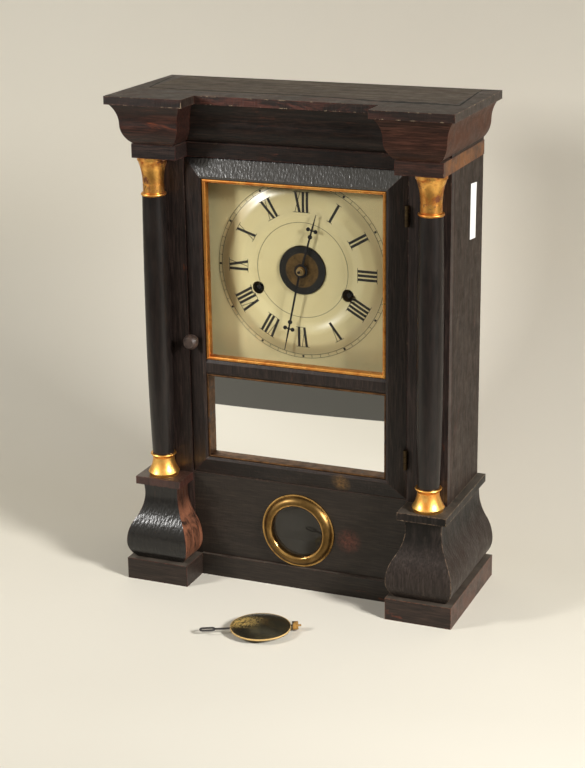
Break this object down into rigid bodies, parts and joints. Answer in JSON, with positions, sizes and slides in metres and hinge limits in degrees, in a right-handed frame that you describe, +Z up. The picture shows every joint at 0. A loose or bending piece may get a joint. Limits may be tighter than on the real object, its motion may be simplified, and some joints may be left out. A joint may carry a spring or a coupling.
{
  "type": "shelf clock",
  "caption": "Wooden shelf clock with turned columns, a glazed hinged door, a painted dial, a spring movement and a loose pendulum bob.",
  "frame": {"origin": "middle of the underside of the base, on the surface the clock stands on", "axes": "+Z up, -Y towards the front (the dial faces -Y), +X to the right as seen from the front"},
  "size_m": [0.2834, 0.194, 0.406],
  "materials": {
    "veneer": "dark rosewood-like veneer under old crackled varnish, worn red-brown at the edges",
    "top_wood": "dusty grey-brown softwood top with dulled varnish",
    "plain_wood": "plain unvarnished softwood",
    "ebonised": "turned and ebonised, polished",
    "gilt": "gilt over turned or moulded wood, bright with darker hollows",
    "bead_wood": "narrow brown moulding with traces of gilt",
    "brass": "old brass, dull with bright rubbed edges",
    "steel": "plain steel, slightly tarnished",
    "blued_steel": "blued steel, almost black",
    "iron": "painted cast iron",
    "glass": "clear sheet glass",
    "mirror": "silvered plate glass",
    "dial_paint": "cream enamel paint on pressed zinc"
  },
  "bodies": {
    "case": {"left_side": "veneer", "right_side": "veneer", "backboard": "plain_wood", "bottom_board": "plain_wood", "left_stile": "veneer", "right_stile": "veneer", "base_panel": "veneer", "base_block_left": "veneer", "base_block_right": "veneer", "plinth_left": "veneer", "plinth_right": "veneer", "column_left": "ebonised", "column_right": "ebonised", "capital_left": "gilt", "capital_right": "gilt", "column_base_left": "gilt", "column_base_right": "gilt", "frieze_block_left": "veneer", "frieze_block_right": "veneer", "cornice_left": "veneer", "cornice_center": "veneer", "cornice_right": "veneer", "top_rim": "veneer", "top_board": "top_wood", "window_bezel": "brass", "window_glass": "glass", "dial_plate": "dial_paint", "dial_supports": "plain_wood", "case_hinge_leaves": "brass", "back_plate": "brass", "front_plate": "brass", "mainsprings": "steel", "gong_coil": "steel", "gong_block": "iron"},
    "door": {"door_left_stile": "veneer", "door_right_stile": "veneer", "door_top_rail": "veneer", "door_mid_rail": "veneer", "door_bottom_rail": "veneer", "dial_bead": "gilt", "mirror_bead": "bead_wood", "dial_glass": "glass", "mirror_plate": "mirror", "door_hinge_leaves": "brass"},
    "knob": {"door_knob": "ebonised"},
    "minute": {"minute_hand": "blued_steel", "center_arbor": "brass"},
    "hour": {"hour_hand": "blued_steel", "hour_wheel": "brass"},
    "alarm": {"alarm_disc": "brass"},
    "motion": {"minute_wheel": "brass"},
    "time_main": {"time_great_wheel": "brass"},
    "strike_main": {"strike_great_wheel": "brass"},
    "third": {"third_wheel": "brass"},
    "escape": {"escape_wheel": "brass"},
    "crutch": {"verge": "steel"},
    "pendulum": {"pendulum_rod": "steel"},
    "hammer": {"strike_hammer": "steel"},
    "bob": {"bob_shell": "brass", "bob_rod": "steel"}
  },
  "joints": [
    {"name": "door_swing", "type": "hinge", "parent": "case", "child": "door", "pos_m": [0.09325, -0.02665, 0.223], "axis": [0, 0, 1], "range_deg": [0, 105]},
    {"name": "knob_turn", "type": "hinge", "parent": "door", "child": "knob", "pos_m": [-0.08676, -0.02135, 0.2065], "axis": [0, 1, 0], "range_deg": [0, 90]},
    {"name": "minute_turn", "type": "hinge", "parent": "case", "child": "minute", "pos_m": [0, 0.01165, 0.2668], "axis": [0, 1, 0], "continuous": true},
    {"name": "hour_turn", "type": "hinge", "parent": "case", "child": "hour", "pos_m": [0, -0.00035, 0.2668], "axis": [0, 1, 0], "continuous": true},
    {"name": "motion_turn", "type": "hinge", "parent": "case", "child": "motion", "pos_m": [-0.01409, 0.01115, 0.26167], "axis": [0, 1, 0], "continuous": true},
    {"name": "time_main_turn", "type": "hinge", "parent": "case", "child": "time_main", "pos_m": [0.03845, 0.02165, 0.2493], "axis": [0, 1, 0], "continuous": true},
    {"name": "third_turn", "type": "hinge", "parent": "case", "child": "third", "pos_m": [-0.00353, 0.02665, 0.2892], "axis": [0, 1, 0], "continuous": true},
    {"name": "escape_turn", "type": "hinge", "parent": "case", "child": "escape", "pos_m": [0.009, 0.02865, 0.3053], "axis": [0, 1, 0], "continuous": true},
    {"name": "strike_main_turn", "type": "hinge", "parent": "case", "child": "strike_main", "pos_m": [-0.03845, 0.02165, 0.2493], "axis": [0, 1, 0], "continuous": true},
    {"name": "alarm_turn", "type": "hinge", "parent": "hour", "child": "alarm", "pos_m": [0, -0.00895, 0.2668], "axis": [0, 1, 0], "continuous": true},
    {"name": "pendulum_swing", "type": "hinge", "parent": "case", "child": "pendulum", "pos_m": [0.009, 0.00465, 0.3248], "axis": [0, 1, 0], "range_deg": [-3, 3]},
    {"name": "crutch_swing", "type": "hinge", "parent": "case", "child": "crutch", "pos_m": [0.009, 0.01665, 0.3248], "axis": [0, 1, 0], "range_deg": [-3, 3]},
    {"name": "hammer_swing", "type": "hinge", "parent": "case", "child": "hammer", "pos_m": [-0.0059, 0.03165, 0.2113], "axis": [0, 1, 0], "range_deg": [-14, 0.4]},
    {"name": "bob_lift", "type": "slide", "parent": "case", "child": "bob", "axis": [0, 0, 1], "range_m": [0, 0.1]}
  ],
  "couplings": [
    {"joint": "hour_turn", "follows": "minute_turn", "ratio": 0.083333},
    {"joint": "motion_turn", "follows": "minute_turn", "ratio": -0.33333},
    {"joint": "time_main_turn", "follows": "minute_turn", "ratio": -0.2},
    {"joint": "third_turn", "follows": "minute_turn", "ratio": -7.5},
    {"joint": "escape_turn", "follows": "minute_turn", "ratio": 56.25},
    {"joint": "crutch_swing", "follows": "pendulum_swing", "ratio": 1}
  ]
}
